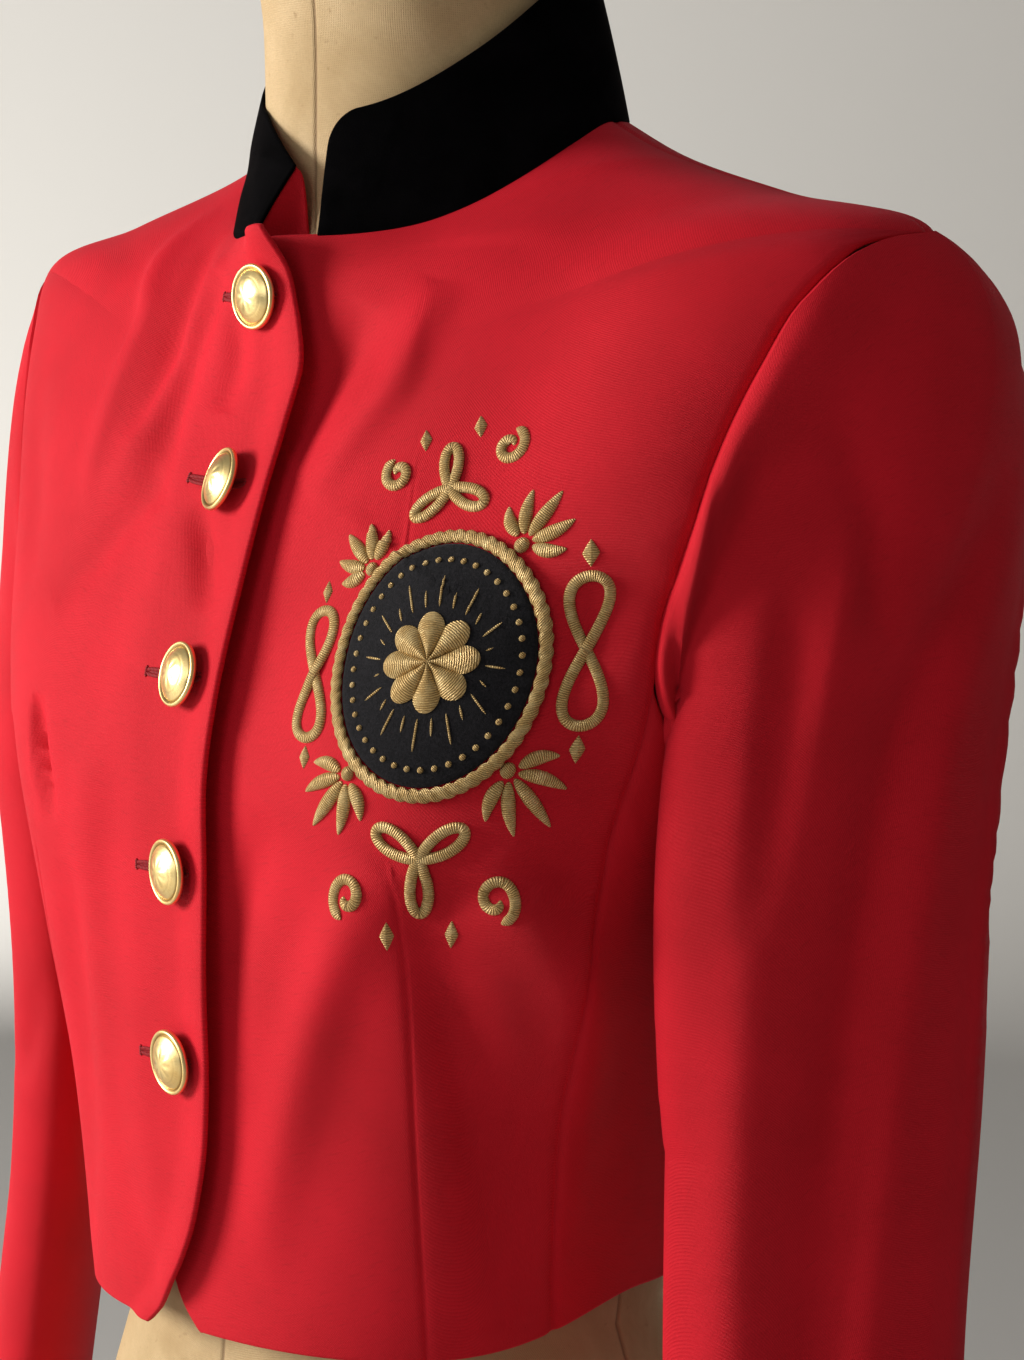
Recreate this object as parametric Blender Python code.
"""A red cropped military jacket on a limbless dress form, built to its real size.

Units are metres, +Z is up, the jacket's front faces -Y and its left side is +X.
Heights in the tables are measured from the waist line.
"""

import bmesh
import bpy
import numpy as np
from mathutils import Matrix, Vector

# Driving sizes
WAIST_HEIGHT = 0.400
CLOTH = 0.0025
SLEEVE_CLOTH = 0.0022
SEAM_GAP = 0.0003

LAP_CLEAR = 0.0012
LAP_START, LAP_RAMP = 0.003, 0.026
EDGE_STAND_OFF, EDGE_ROLL = 0.0026, 0.016
CORNER_LIFT, CORNER_LEVEL = 0.0060, 0.045
CORNER_START, CORNER_WIDTH = -0.004, 0.018

BUST_FULLNESS = 0.006
BUST_ANGLE = 36.0
BUST_SPREAD = 17.0
BUST_LEVEL = 0.67
BUST_LEVEL_SPREAD = 0.13

COLLAR_START = 10.5
COLLAR_HEIGHT_FRONT = 0.043
COLLAR_HEIGHT_BACK = 0.048
COLLAR_CORNER = 0.012
COLLAR_LEAN, COLLAR_LEAN_EASE = 0.19, 0.07
COLLAR_EASE_ANGLE, COLLAR_EASE_SPREAD = 47.0, 24.0
COLLAR_FOOT_LEAN = 0.7
COLLAR_SEAT = 0.0006
COLLAR_NEAR_STEPS = (0.0, 1.0, 2.6, 4.6, 6.8, 9.5)
COLLAR_FAR_STEPS = 16
VELVET = 0.0015
FACING = 0.0012

BUTTON_RADIUS = 0.0115
BUTTON_STEP = 0.066
BUTTON_FIRST = 0.323
BUTTON_TILTS = (-6.0, -2.0, 0.0, -2.0, -3.0)
BUTTON_SEAT = 0.0008
SHANK, SHANK_RADIUS = 0.0016, 0.0026
# A button's face as shares of its radius, with heights over its back
BUTTON_FACE = (
    (0.84, 0.0), (1.0, 0.0013), (1.0, 0.0021), (0.93, 0.0027), (0.85, 0.0023), (0.78, 0.0031),
    (0.55, 0.0044), (0.28, 0.0052), (0.0, 0.0055),
)

BADGE_ANGLE = 41.5
BADGE_LEVEL = 0.555
BADGE_HALF_WIDTH = 0.034
BADGE_HALF_HEIGHT = 0.040
BADGE_RIM_WIDTH, BADGE_RIM_HEIGHT = 0.0045, 0.0022
BADGE_CLEAR = 0.0003
BADGE_THICKNESS = 0.0012
ROSETTE_RADIUS, ROSETTE_PETALS, PETAL_DEPTH = 0.0165, 8, 0.14
ROSETTE_THICKNESS, ROSETTE_DOME = 0.0008, 0.0012

FORM_CLEAR = 0.0055
FORM_SEAT = 0.0004
FORM_SEAT_SPREAD = 7.0
FORM_LEVELS = (0.06, 0.10, 0.14, 0.19, 0.24, 0.30, 0.36, 0.46, 0.58, 0.665, 0.74, 0.83, 0.92)

BASE_RADIUS = 0.140
BASE_THICKNESS = 0.016
COLUMN_RADIUS = 0.016
FLANGE_RADIUS, FLANGE_THICKNESS = 0.045, 0.006
FORM_BOTTOM = -0.190

# The jacket's outer surface, one row for each level from the neck seam to the hem. Columns:
# level, z_front, z_side, z_back, half_width, y_side, depth_front, depth_back, squareness, dip
JACKET_RINGS = (
    # neck seam, yoke, shoulder point
    (0.000, 0.345, 0.395, 0.398, 0.070, 0.004, 0.088, 0.051, 2.00, 3.5),
    (0.060, 0.331, 0.380, 0.386, 0.098, 0.004, 0.090, 0.067, 1.95, 3.0),
    (0.140, 0.311, 0.363, 0.367, 0.150, 0.003, 0.093, 0.082, 1.75, 2.4),
    (0.240, 0.286, 0.346, 0.341, 0.210, 0.002, 0.097, 0.093, 1.65, 2.0),
    # across the armhole
    (0.300, 0.270, 0.322, 0.320, 0.201, 0.002, 0.101, 0.098, 2.05, 2.0),
    (0.360, 0.253, 0.297, 0.300, 0.191, 0.002, 0.107, 0.102, 2.35, 2.0),
    (0.460, 0.223, 0.253, 0.263, 0.178, 0.002, 0.116, 0.106, 2.60, 2.0),
    (0.580, 0.184, 0.203, 0.212, 0.166, 0.001, 0.125, 0.109, 2.75, 2.0),
    # underarm, bust, ribs, waist, hem
    (0.665, 0.156, 0.165, 0.172, 0.155, 0.000, 0.128, 0.108, 2.80, 2.0),
    (0.740, 0.128, 0.132, 0.138, 0.147, -0.001, 0.127, 0.105, 2.80, 2.0),
    (0.830, 0.088, 0.092, 0.097, 0.135, -0.003, 0.126, 0.097, 2.75, 2.0),
    (0.920, 0.027, 0.038, 0.042, 0.120, -0.004, 0.122, 0.088, 2.60, 3.0),
    (1.000, -0.038, -0.022, -0.016, 0.111, -0.004, 0.120, 0.084, 2.40, 10.0),
)

# The form's own rings, where it shows: neck from the top, then waist and hips
NECK_RINGS = (
    (0.0, 0.474, 0.474, 0.474, 0.048, -0.012, 0.065, 0.030, 2.3, 2.0),
    (0.2, 0.468, 0.468, 0.468, 0.055, -0.012, 0.072, 0.036, 2.4, 2.0),
    (0.6, 0.420, 0.428, 0.430, 0.0545, -0.010, 0.071, 0.034, 2.4, 2.0),
    (1.0, 0.345, 0.390, 0.394, 0.057, -0.006, 0.070, 0.037, 2.2, 3.5),
)
HIP_RINGS = (
    (0.0, -0.045, -0.040, -0.036, 0.099, -0.004, 0.104, 0.074, 2.30, 2.0),
    (0.5, -0.115, -0.115, -0.115, 0.127, -0.002, 0.108, 0.094, 2.25, 2.0),
    (1.0, -0.190, -0.190, -0.190, 0.137, 0.000, 0.108, 0.104, 2.20, 2.0),
)

# How far the front edge lies beyond the centre front, from neck to hem: level, reach
FRONT_EDGE = (
    (0.000, 0.0025), (0.030, 0.0125), (0.060, 0.0175), (0.100, 0.0205),
    (0.190, 0.0220), (0.300, 0.0210), (0.470, 0.0192), (0.665, 0.0165),
    (0.840, 0.0160), (0.890, 0.0155), (0.930, 0.0120), (0.960, 0.0050),
    (0.980, -0.0040), (0.992, -0.0120), (1.000, -0.0190),
)

# The armhole's edges as angles round the body: level, front, back
ARMHOLE = (
    (0.240, 90.0, 90.0), (0.250, 84.8, 95.8), (0.270, 80.5, 100.3), (0.300, 77.0, 104.2),
    (0.340, 74.0, 107.5), (0.400, 70.3, 110.5), (0.470, 67.4, 112.6), (0.530, 66.2, 113.6),
    (0.580, 65.8, 114.0),
)
ARMHOLE_TOP, PANEL_TOP, ARMHOLE_BOTTOM = 0.240, 0.580, 0.665

# The seams of the side panel as angles round the body: level, front_seam, back_seam
SIDE_SEAMS = (
    (0.580, 65.8, 114.0), (0.665, 65.0, 112.5), (0.740, 64.0, 111.0), (0.840, 63.2, 110.0),
    (0.930, 63.8, 110.0), (1.000, 67.0, 111.0),
)

LEVELS = (
    0.0, 0.03, 0.06, 0.10, 0.14, 0.19, 0.24, 0.25, 0.27, 0.30, 0.34, 0.40, 0.47, 0.53,
    0.58, 0.665, 0.74, 0.79, 0.84, 0.89, 0.93, 0.96, 0.98, 0.992, 1.0,
)
FRONT_STEPS = (0.0, 0.025, 0.05, 0.075, 0.10, 0.13, 0.17, 0.25, 0.36, 0.48, 0.60, 0.72, 0.84, 0.93, 1.0)
BACK_STEPS = (0.0, 0.035, 0.08, 0.14, 0.21, 0.28, 0.35, 0.425, 0.5)
SIDE_ARC_STEPS = 8

# The sleeve below the underarm, one row for each ring: z, x, y, half_long, half_short, turn
SLEEVE_RINGS = (
    (0.145, 0.191, -0.010, 0.059, 0.0275, 29.0),
    (0.120, 0.190, -0.010, 0.0575, 0.0265, 32.0),
    (0.050, 0.189, -0.010, 0.055, 0.024, 38.0),
    (-0.016, 0.190, -0.013, 0.0525, 0.022, 40.0),
    (-0.070, 0.193, -0.017, 0.051, 0.0215, 41.0),
    (-0.150, 0.197, -0.025, 0.049, 0.022, 41.0),
    (-0.240, 0.201, -0.034, 0.048, 0.025, 40.0),
)
SLEEVE_HEIGHTS = (0.12, 0.085, 0.05, 0.015, -0.02, -0.06, -0.10, -0.145, -0.19, -0.24)
CAP_STEPS = (0.08, 0.18, 0.30, 0.43, 0.57, 0.72, 0.86, 1.0)
CAP_START, CAP_RISE = -0.0020, 0.0025
# The sleeve head at its front, top and back: how much it rolls out, and how far it is pushed
CAP_SHAPE = {"front": (0.80, 0.20), "top": (0.32, 0.72), "back": (0.95, 0.98)}
CAP_DROP, CAP_LEAN_BACK = 0.95, 0.85

# Colour, roughness and metallic value of each material
FINISHES = {
    "red_wool": ((0.52, 0.012, 0.022), 0.80, 0.0),
    "black_velvet": ((0.006, 0.005, 0.006), 0.95, 0.0),
    "gold_metal": ((0.86, 0.66, 0.32), 0.32, 1.0),
    "gold_thread": ((0.66, 0.42, 0.13), 0.55, 0.2),
    "black_felt": ((0.012, 0.011, 0.013), 0.85, 0.0),
    "linen": ((0.62, 0.50, 0.34), 0.85, 0.0),
    "dark_iron": ((0.035, 0.033, 0.032), 0.45, 0.8),
}


def along(table, at):
    """The table's other columns at each value of its first one, on a smooth curve."""
    table = np.array(table, float)
    at = np.asarray(at, float)
    key, values = table[:, 0], table[:, 1:]
    step = np.diff(key)
    slope = np.diff(values, axis=0) / step[:, None]
    tangent = np.empty_like(values)
    tangent[1:-1] = slope[:-1] * step[1:, None] + slope[1:] * step[:-1, None]
    tangent[1:-1] /= (step[:-1] + step[1:])[:, None]
    tangent[0], tangent[-1] = slope[0], slope[-1]
    i = np.clip(np.searchsorted(key, at, side="right") - 1, 0, len(step) - 1)
    t = ((at - key[i]) / step[i])[..., None]
    h = step[i][..., None]
    return (
        (2 * t**3 - 3 * t**2 + 1) * values[i]
        + (t**3 - 2 * t**2 + t) * h * tangent[i]
        + (3 * t**2 - 2 * t**3) * values[i + 1]
        + (t**3 - t**2) * h * tangent[i + 1]
    )


def smoothstep(low, high, value):
    t = np.clip((value - low) / (high - low), 0.0, 1.0)
    return t * t * (3 - 2 * t)


def unit(vectors):
    return vectors / np.linalg.norm(vectors, axis=-1, keepdims=True)


def ring_points(rings, angle, level):
    """Points at angles round the body (0 in front, 90 at its left) and levels down it."""
    angle, level = np.broadcast_arrays(np.asarray(angle, float), np.asarray(level, float))
    columns = np.moveaxis(along(rings, level), -1, 0)
    z_front, z_side, z_back, half_width, y_side, front, back, square, dip = columns
    across, ahead = np.sin(np.radians(angle)), np.cos(np.radians(angle))
    depth = np.where(ahead > 0, front + y_side, back - y_side)
    radius = (np.abs(across / half_width) ** square + np.abs(ahead / depth) ** square) ** (-1 / square)
    z_end = np.where(ahead > 0, z_front, z_back)
    z = z_side + (z_end - z_side) * (1 - np.abs(across) ** dip)
    return np.stack([radius * across, y_side - radius * ahead, z + WAIST_HEIGHT], -1)


def jacket(angle, level):
    """Points on the jacket's outer surface, with the fullness of the bust."""
    points = ring_points(JACKET_RINGS, angle, level)
    turned = np.abs((np.asarray(angle, float) + 180) % 360 - 180)
    bump = np.exp(
        -(((turned - BUST_ANGLE) / BUST_SPREAD) ** 2)
        - ((np.asarray(level, float) - BUST_LEVEL) / BUST_LEVEL_SPREAD) ** 2
    )
    points[..., 1] -= BUST_FULLNESS * bump
    return points


def jacket_frame(angle, level):
    """Outward normal, and metres for one degree round and for one level down."""
    turn, drop = 0.25, 0.002
    round_way = (jacket(angle + turn, level) - jacket(angle - turn, level)) / (2 * turn)
    down_way = (jacket(angle, level + drop) - jacket(angle, level - drop)) / (2 * drop)
    normal = unit(np.cross(down_way, round_way))
    return normal, np.linalg.norm(round_way, axis=-1), np.linalg.norm(down_way, axis=-1)


def material(name):
    found = bpy.data.materials.get(name)
    if found:
        return found
    colour, roughness, metallic = FINISHES[name]
    made = bpy.data.materials.new(name)
    made.use_nodes = True
    made.diffuse_color = (*colour, 1.0)
    shader = made.node_tree.nodes["Principled BSDF"]
    shader.inputs["Base Color"].default_value = (*colour, 1.0)
    shader.inputs["Roughness"].default_value = roughness
    shader.inputs["Metallic"].default_value = metallic
    return made


def add_object(name, points, faces, finish, smooth_angle=40.0):
    """A mesh object with its faces turned outward and its round parts shaded smooth."""
    mesh = bpy.data.meshes.new(name)
    mesh.from_pydata([tuple(p) for p in points], [], faces)
    work = bmesh.new()
    work.from_mesh(mesh)
    bmesh.ops.recalc_face_normals(work, faces=work.faces)
    work.to_mesh(mesh)
    work.free()
    mesh.shade_smooth()
    mesh.set_sharp_from_angle(angle=np.radians(smooth_angle))
    mesh.materials.append(material(finish))
    made = bpy.data.objects.new(name, mesh)
    bpy.context.scene.collection.objects.link(made)
    return made


def grid_faces(rows, columns, closed, start=0):
    last = columns if closed else columns - 1
    return [
        tuple(start + n for n in (
            i * columns + j, i * columns + (j + 1) % columns,
            (i + 1) * columns + (j + 1) % columns, (i + 1) * columns + j,
        ))
        for i in range(rows - 1) for j in range(last)
    ]


def wall(name, outer, inner, finish, closed=False):
    """A cloth wall between two grids of points, closed round its rims."""
    rows, columns = outer.shape[:2]
    count = rows * columns
    faces = grid_faces(rows, columns, closed)
    faces += [face[::-1] for face in grid_faces(rows, columns, closed, count)]
    turns = columns if closed else columns - 1
    for row in (0, rows - 1):
        for j in range(turns):
            a, b = row * columns + j, row * columns + (j + 1) % columns
            faces.append((a, b, b + count, a + count))
    if not closed:
        for column in (0, columns - 1):
            for i in range(rows - 1):
                a, b = i * columns + column, (i + 1) * columns + column
                faces.append((a, b, b + count, a + count))
    points = np.concatenate([outer.reshape(-1, 3), inner.reshape(-1, 3)])
    return add_object(name, points, faces, finish)


def lathe(name, profile, segments, finish):
    """A turned solid from (radius, height) pairs, whose first and last are on the axis."""
    turns = np.linspace(0, 2 * np.pi, segments, endpoint=False)
    points = [(0.0, 0.0, profile[0][1])]
    for radius, height in profile[1:-1]:
        points += [(radius * np.cos(t), radius * np.sin(t), height) for t in turns]
    points.append((0.0, 0.0, profile[-1][1]))
    rings = len(profile) - 2
    faces = grid_faces(rings, segments, True, 1)
    faces += [(0, 1 + (j + 1) % segments, 1 + j) for j in range(segments)]
    top, ring = len(points) - 1, 1 + (rings - 1) * segments
    faces += [(top, ring + j, ring + (j + 1) % segments) for j in range(segments)]
    return add_object(name, points, faces, finish)


def mirrored(points):
    return points * np.array([-1.0, 1.0, 1.0])


def front_outline(level):
    """Angles of a left front's free edge and of its outer edge, at each level."""
    reach = along(FRONT_EDGE, level)[..., 0]
    depth = along(JACKET_RINGS, level)[..., 5]
    free = -np.degrees(np.arcsin(reach / depth))
    shoulder = np.full_like(free, 90.0)
    armhole = along(ARMHOLE, level)[..., 0]
    seam = along(SIDE_SEAMS, level)[..., 0]
    outer = np.where(level <= ARMHOLE_TOP, shoulder, np.where(level <= PANEL_TOP, armhole, seam))
    return free, outer


def seam_shift(angle, level):
    """Half of the seam's gap, as an angle."""
    return SEAM_GAP / 2 / jacket_frame(angle, level)[1]


def has_seam(level):
    """Where a panel's side edge is a seam with its neighbour and not the armhole's edge."""
    return (level <= ARMHOLE_TOP) | (level >= PANEL_TOP)


def front_grid():
    level = np.array(LEVELS)
    free, outer = front_outline(level)
    outer = outer - np.where(has_seam(level), seam_shift(outer, level), 0.0)
    steps = np.array(FRONT_STEPS)
    angle = free[:, None] + (outer - free)[:, None] * steps
    return angle, np.repeat(level[:, None], len(steps), axis=1)


def lap_lift(points, level):
    """How far the right front rides over the left one, from its place if it were the left."""
    side = points[..., 0]
    reach = along(FRONT_EDGE, level)[..., 0]
    over = 1 - smoothstep(reach + LAP_START, reach + LAP_START + LAP_RAMP, side)
    edge = 1 - smoothstep(-reach, -reach + EDGE_ROLL, side)
    corner = np.exp(-((level / CORNER_LEVEL) ** 2)) * (1 - smoothstep(CORNER_START, CORNER_WIDTH, side))
    return over * (CLOTH + LAP_CLEAR) + edge * EDGE_STAND_OFF + corner * CORNER_LIFT


def lapped(angle, level):
    """Points on the right front's outer face, from their place if it were the left."""
    points = jacket(angle, level)
    return points + jacket_frame(angle, level)[0] * lap_lift(points, level)[..., None]


def lapped_frame(level):
    """The point and outward normal of the right front at the centre front."""
    turn, drop = 2.0, 0.012
    here = np.array([0.0, turn, -turn, 0.0, 0.0])
    levels = np.array([level, level, level, level + drop, level - drop])
    middle, right, left, low, high = lapped(here, levels)
    return middle, unit(np.cross(low - high, right - left))


def build_fronts():
    angle, level = front_grid()
    points = jacket(angle, level)
    normal = jacket_frame(angle, level)[0]
    wall("left_front", points, points - normal * CLOTH, "red_wool")
    lifted = lapped(angle, level)
    wall("right_front", mirrored(lifted), mirrored(lifted - normal * CLOTH), "red_wool")


def build_back():
    level = np.array(LEVELS)
    armhole = along(ARMHOLE, level)[..., 1]
    seam = along(SIDE_SEAMS, level)[..., 1]
    outer = np.where(level <= ARMHOLE_TOP, 90.0, np.where(level <= PANEL_TOP, armhole, seam))
    outer = outer + np.where(has_seam(level), seam_shift(outer, level), 0.0)
    steps = np.array(BACK_STEPS + tuple(1 - s for s in BACK_STEPS[-2::-1]))
    angle = outer[:, None] + (360 - 2 * outer)[:, None] * steps
    level = np.repeat(level[:, None], len(steps), axis=1)
    points = jacket(angle, level)
    wall("back", points, points - jacket_frame(angle, level)[0] * CLOTH, "red_wool")


def underarm_arc():
    """Angles and levels along the armhole's lower curve, from its front to its back."""
    _, front, back = ARMHOLE[-1]
    turn = np.linspace(0, np.pi, SIDE_ARC_STEPS + 1)
    angle = (front + back) / 2 - (back - front) / 2 * np.cos(turn)
    return angle, PANEL_TOP + (ARMHOLE_BOTTOM - PANEL_TOP) * np.sin(turn)


def build_sides():
    arc_angle, arc_level = underarm_arc()
    rows = np.array([level for level in LEVELS if level >= PANEL_TOP])
    share = (rows - PANEL_TOP) / (1 - PANEL_TOP)
    level = arc_level + (1 - arc_level) * share[:, None]
    seams = along(SIDE_SEAMS, level)
    low = seams[..., 0] + seam_shift(seams[..., 0], level)
    high = seams[..., 1] - seam_shift(seams[..., 1], level)
    top = along(SIDE_SEAMS, arc_level)
    step = (arc_angle - top[:, 0]) / (top[:, 1] - top[:, 0])
    angle = low + (high - low) * step
    points = jacket(angle, level)
    inner = points - jacket_frame(angle, level)[0] * CLOTH
    wall("left_side", points, inner, "red_wool")
    wall("right_side", mirrored(points), mirrored(inner), "red_wool")


def armhole_loop():
    """Angles and levels round the armhole: down its front from the shoulder, up its back."""
    table = np.array(ARMHOLE)
    arc_angle, arc_level = underarm_arc()
    angle = np.concatenate([table[:, 1], arc_angle[1:-1], table[:0:-1, 2]])
    level = np.concatenate([table[:, 0], arc_level[1:-1], table[:0:-1, 0]])
    return angle, level


def sleeve_ring(height, turn_round):
    """A ring of the hanging sleeve. 0 is its front fold, 90 its outer side."""
    x, y, half_long, half_short, turn = np.moveaxis(along(tuple(sorted(SLEEVE_RINGS)), height), -1, 0)
    lean = np.radians(turn)
    ahead, aside = np.cos(turn_round) * half_long, np.sin(turn_round) * half_short
    return np.stack([
        x - np.sin(lean) * ahead + np.cos(lean) * aside,
        y - np.cos(lean) * ahead - np.sin(lean) * aside,
        np.broadcast_to(height + WAIST_HEIGHT, np.shape(turn_round)),
    ], -1)


def sleeve_grid():
    """The outer face of the left sleeve, from inside the armhole to the cuff."""
    angle, level = armhole_loop()
    seam = jacket(angle, level)
    normal = jacket_frame(angle, level)[0]
    tangent = unit(np.roll(seam, -1, axis=0) - np.roll(seam, 1, axis=0))
    inward = unit(np.cross(normal, tangent))
    centre = seam.mean(axis=0)
    inward *= np.sign(((centre - seam) * inward).sum(-1).mean())
    start = seam + inward * SEAM_GAP

    length = np.linalg.norm(np.roll(seam, -1, axis=0) - seam, axis=-1)
    travel = np.concatenate([[0.0], np.cumsum(length)])
    bottom = int(np.argmin(seam[:, 2]))
    front_share = travel[:-1] / travel[bottom]
    back_share = (travel[:-1] - travel[bottom]) / (travel[-1] - travel[bottom])
    index = np.arange(len(seam))
    turn = np.where(index <= bottom, 90 - 180 * front_share, -90 - 180 * back_share)
    turn_round = np.radians(turn)

    rise = start + normal * CAP_RISE
    first = sleeve_ring(SLEEVE_RINGS[0][0], turn_round)
    ahead = np.cos(turn_round)[:, None]
    side, top = np.where(ahead > 0, CAP_SHAPE["front"], CAP_SHAPE["back"]), CAP_SHAPE["top"]
    roll, push = np.split(top + (side - top) * np.abs(ahead), 2, axis=1)
    backward = np.array([0.0, CAP_LEAN_BACK, 0.0]) * np.clip(np.sin(turn_round), 0, 1)[:, None] ** 2
    leave = unit(normal * roll + inward * (1 - roll)) + backward
    span = np.linalg.norm(first - rise, axis=-1)[:, None]
    down = np.array([0.0, 0.0, -1.0])
    rows = [start + normal * CAP_START, rise]
    for t in CAP_STEPS:
        rows.append(
            (2 * t**3 - 3 * t**2 + 1) * rise
            + (t**3 - 2 * t**2 + t) * leave * span * push
            + (3 * t**2 - 2 * t**3) * first
            + (t**3 - t**2) * down * span * CAP_DROP
        )
    rows += [sleeve_ring(height, turn_round) for height in SLEEVE_HEIGHTS]
    return np.stack(rows)


def grid_normals(grid):
    """Normals of a grid that closes along its second way."""
    round_way = np.roll(grid, -1, axis=1) - np.roll(grid, 1, axis=1)
    down_way = np.gradient(grid, axis=0)
    return unit(np.cross(round_way, down_way))


def build_sleeves():
    outer = sleeve_grid()
    normal = grid_normals(outer)
    away = outer[-1] - outer[-1].mean(axis=0)
    normal *= np.sign((normal[-1] * away).sum())
    inner = outer - normal * SLEEVE_CLOTH
    wall("left_sleeve", outer, inner, "red_wool", closed=True)
    wall("right_sleeve", mirrored(outer), mirrored(inner), "red_wool", closed=True)


def collar_grid(depth):
    """The standing collar, at a depth inside its outer face."""
    near = COLLAR_START + np.array(COLLAR_NEAR_STEPS)
    half = np.concatenate([near, np.linspace(near[-1], 180, COLLAR_FAR_STEPS)[1:]])
    angle = np.concatenate([half, 360 - half[-2::-1]])
    base = jacket(angle, np.zeros_like(angle))
    turned = np.minimum(angle, 360 - angle)
    end = jacket(np.array(COLLAR_START), np.array(0.0))
    along_edge = np.linalg.norm(jacket(turned, np.zeros_like(turned)) - end, axis=-1)
    full = COLLAR_HEIGHT_FRONT + (COLLAR_HEIGHT_BACK - COLLAR_HEIGHT_FRONT) * smoothstep(10, 100, turned)
    short = np.clip(COLLAR_CORNER - along_edge, 0, COLLAR_CORNER)
    height = full - (COLLAR_CORNER - np.sqrt(COLLAR_CORNER**2 - short**2))
    tangent = unit(jacket(angle + 1, np.zeros_like(angle)) - jacket(angle - 1, np.zeros_like(angle)))
    flat = tangent * np.array([1.0, 1.0, 0.0])
    outward = unit(np.stack([flat[:, 1], -flat[:, 0], np.zeros_like(angle)], -1))
    ease = np.exp(-(((turned - COLLAR_EASE_ANGLE) / COLLAR_EASE_SPREAD) ** 2))
    slant = COLLAR_LEAN - COLLAR_LEAN_EASE * ease
    rows = []
    for share in (0.0, 0.25, 0.5, 0.75, 1.0):
        up = COLLAR_SEAT + share * (height - COLLAR_SEAT)
        lean = slant * up * (COLLAR_FOOT_LEAN + (1 - COLLAR_FOOT_LEAN) * share)
        row = base - outward * (lean + depth)[:, None]
        row[:, 2] += up
        rows.append(row)
    return np.stack(rows)


def build_collar():
    wall("collar", collar_grid(0.0), collar_grid(VELVET), "black_velvet")
    inside = VELVET + SEAM_GAP
    wall("collar_facing", collar_grid(inside), collar_grid(inside + FACING), "red_wool")


def level_at(height):
    """The level whose centre front lies at a height above the waist."""
    levels = np.linspace(0, 1, 401)
    heights = jacket(np.zeros_like(levels), levels)[:, 2] - WAIST_HEIGHT
    return float(np.interp(height, heights[::-1], levels[::-1]))


def build_buttons():
    profile = [(0.0, -SHANK), (SHANK_RADIUS, -SHANK), (SHANK_RADIUS, 0.0)]
    profile += [(share * BUTTON_RADIUS, height) for share, height in BUTTON_FACE]
    for number, tilt in enumerate(BUTTON_TILTS):
        level = level_at(BUTTON_FIRST - BUTTON_STEP * number)
        cloth, normal = lapped_frame(level)
        face = Vector(normal)
        facing = Matrix.Rotation(np.radians(-tilt), 3, "X") @ face
        clear = BUTTON_SEAT + abs(np.sin(np.radians(tilt))) * SHANK_RADIUS
        button = lathe(f"button_{number + 1}", profile, 20, "gold_metal")
        button.rotation_euler = facing.to_track_quat("Z", "X").to_euler()
        button.location = Vector(cloth) + face * clear + facing * SHANK


def badge_points(across, up, lift):
    """Points over the left front, at distances from the badge's middle."""
    middle = np.array(BADGE_ANGLE), np.array(BADGE_LEVEL)
    _, per_degree, per_level = jacket_frame(*middle)
    angle = BADGE_ANGLE + across / per_degree
    level = BADGE_LEVEL - up / per_level
    return jacket(angle, level) + jacket_frame(angle, level)[0] * np.asarray(lift)[..., None]


def disc_solid(name, outline, low, high, finish, dome=0.0):
    """A thin solid over the left front: rings of an outline, from its middle out."""
    shares = (0.2, 0.4, 0.6, 0.8, 1.0)
    segments = len(outline)
    layers = []
    for lift, extra in ((low, 0.0), (high, dome)):
        centre = badge_points(np.zeros(1), np.zeros(1), np.array([lift + extra]))
        layers.append(centre)
        for share in shares:
            rise = np.full(segments, lift + extra * (1 - share**2))
            layers.append(badge_points(outline[:, 0] * share, outline[:, 1] * share, rise))
    points = np.concatenate(layers)
    half = len(points) // 2
    faces = []
    for start in (0, half):
        faces += [(start, start + 1 + j, start + 1 + (j + 1) % segments) for j in range(segments)]
        faces += grid_faces(len(shares), segments, True, start + 1)
    edge = 1 + (len(shares) - 1) * segments
    for j in range(segments):
        a, b = edge + j, edge + (j + 1) % segments
        faces.append((a, b, b + half, a + half))
    add_object(name, points, faces, finish)


def build_badge():
    turn = np.linspace(0, 2 * np.pi, 32, endpoint=False)
    oval = np.stack([BADGE_HALF_WIDTH * np.cos(turn), BADGE_HALF_HEIGHT * np.sin(turn)], -1)
    top = BADGE_CLEAR + BADGE_THICKNESS
    disc_solid("badge_patch", oval, BADGE_CLEAR, top, "black_felt")

    section = ((0.0, 0.0), (1.0, 0.0), (1.0, 0.55), (0.75, 1.0), (0.25, 1.0), (0.0, 0.55))
    outward = unit(np.stack([BADGE_HALF_HEIGHT * np.cos(turn), BADGE_HALF_WIDTH * np.sin(turn)], -1))
    rows = []
    for across, up in section:
        place = oval + outward * (SEAM_GAP + across * BADGE_RIM_WIDTH)
        rows.append(badge_points(place[:, 0], place[:, 1], np.full(len(turn), BADGE_CLEAR + up * BADGE_RIM_HEIGHT)))
    points = np.stack(rows)
    faces = grid_faces(len(section), len(turn), True)
    last = (len(section) - 1) * len(turn)
    faces += [(last + j, last + (j + 1) % len(turn), (j + 1) % len(turn), j) for j in range(len(turn))]
    add_object("badge_rim", points.reshape(-1, 3), faces, "gold_thread")

    petals = ROSETTE_RADIUS * (1 - PETAL_DEPTH + PETAL_DEPTH * np.cos(ROSETTE_PETALS * turn))
    flower = np.stack([petals * np.cos(turn), petals * np.sin(turn)], -1)
    seat = top + SEAM_GAP
    disc_solid("badge_rosette", flower, seat, seat + ROSETTE_THICKNESS, "gold_thread", ROSETTE_DOME)


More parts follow.
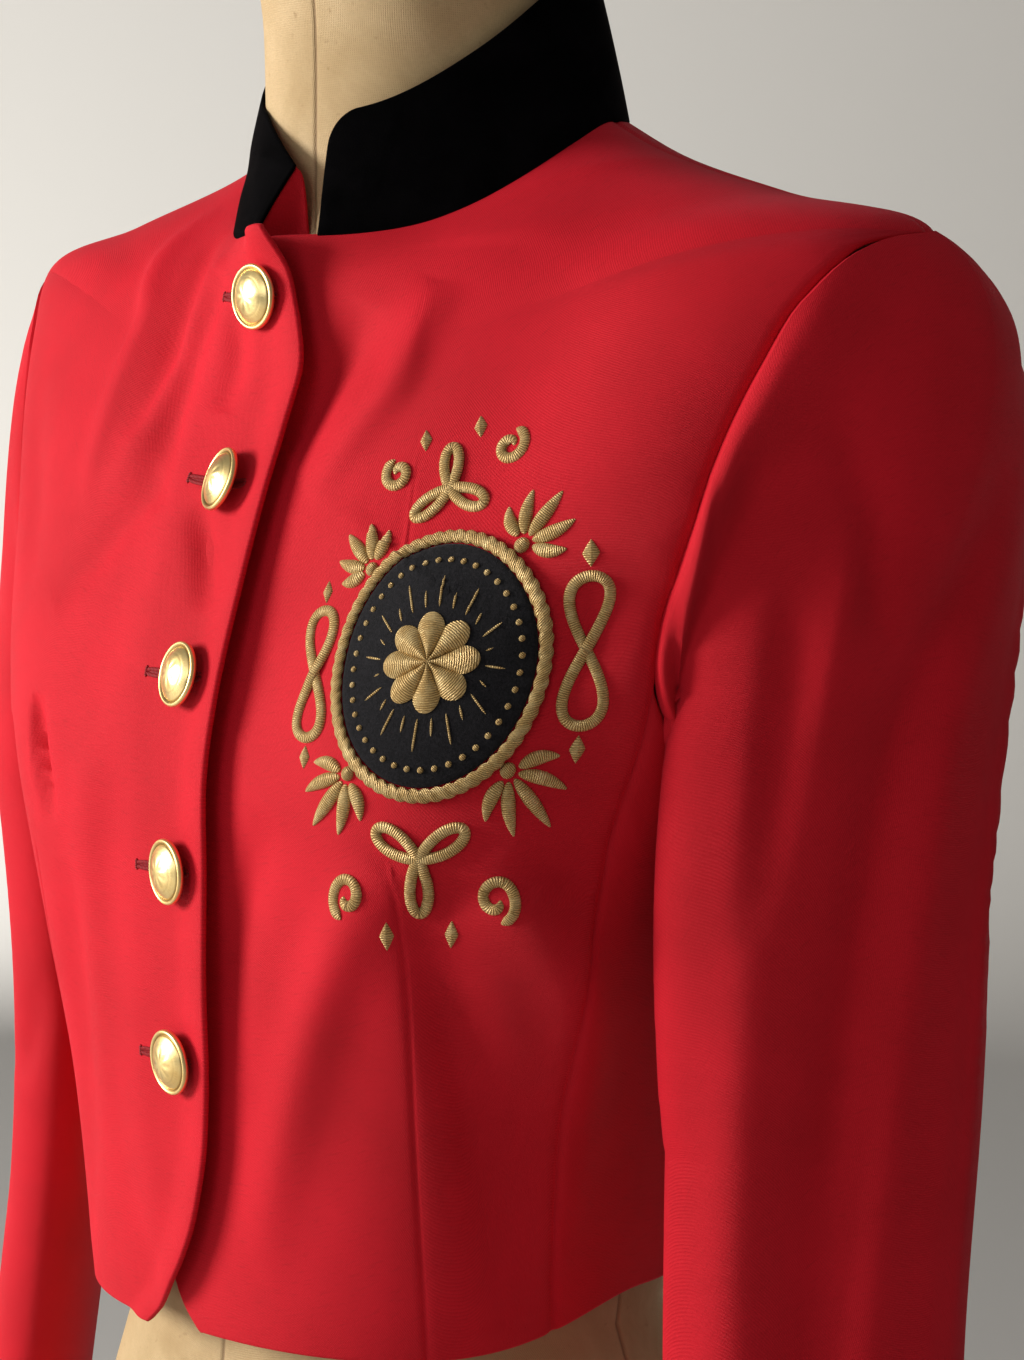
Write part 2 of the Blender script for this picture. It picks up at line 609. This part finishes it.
def form_rows():
    """Rings of the dress form's torso, neck first."""
    front = np.linspace(0, 90, 12)
    back = 90 + 180 * np.array(BACK_STEPS)
    half = np.concatenate([front, back[1:]])
    angle = np.concatenate([half, 360 - half[-2:0:-1]])
    rows = [ring_points(NECK_RINGS, angle, at) for at in (0.0, 0.2, 0.6, 1.0)]
    for level in FORM_LEVELS:
        levels = np.full_like(angle, level)
        turned = np.abs((angle + 180) % 360 - 180)
        seated = np.exp(-(((turned - 90) / FORM_SEAT_SPREAD) ** 2))
        seated *= smoothstep(0.03, 0.10, level) * (1 - smoothstep(0.19, 0.27, level))
        clear = FORM_CLEAR + (FORM_SEAT - FORM_CLEAR) * seated
        rows.append(jacket(angle, levels) - jacket_frame(angle, levels)[0] * (CLOTH + clear)[:, None])
    rows += [ring_points(HIP_RINGS, angle, at) for at in (0.0, 0.25, 0.5, 0.75, 1.0)]
    return np.stack(rows)


def build_form():
    rows = form_rows()
    count, columns = rows.shape[:2]
    points = np.concatenate([rows.reshape(-1, 3), rows[:1].mean(axis=1), rows[-1:].mean(axis=1)])
    faces = grid_faces(count, columns, True)
    top, bottom = count * columns, count * columns + 1
    last = (count - 1) * columns
    faces += [(top, (j + 1) % columns, j) for j in range(columns)]
    faces += [(bottom, last + j, last + (j + 1) % columns) for j in range(columns)]
    add_object("form_torso", points, faces, "linen")

    under = WAIST_HEIGHT + FORM_BOTTOM - SEAM_GAP
    seat = under - FLANGE_THICKNESS
    profile = (
        (0.0, 0.0), (BASE_RADIUS - 0.003, 0.0), (BASE_RADIUS, 0.003), (BASE_RADIUS, BASE_THICKNESS - 0.006),
        (BASE_RADIUS - 0.006, BASE_THICKNESS), (FLANGE_RADIUS, BASE_THICKNESS + 0.006),
        (COLUMN_RADIUS + 0.006, BASE_THICKNESS + 0.012), (COLUMN_RADIUS, BASE_THICKNESS + 0.024),
        (COLUMN_RADIUS, seat), (FLANGE_RADIUS, seat), (FLANGE_RADIUS, under), (0.0, under),
    )
    lathe("form_stand", profile, 40, "dark_iron")


def main():
    for old in list(bpy.data.objects):
        bpy.data.objects.remove(old, do_unlink=True)
    build_fronts()
    build_back()
    build_sides()
    build_sleeves()
    build_collar()
    build_buttons()
    build_badge()
    build_form()


main()
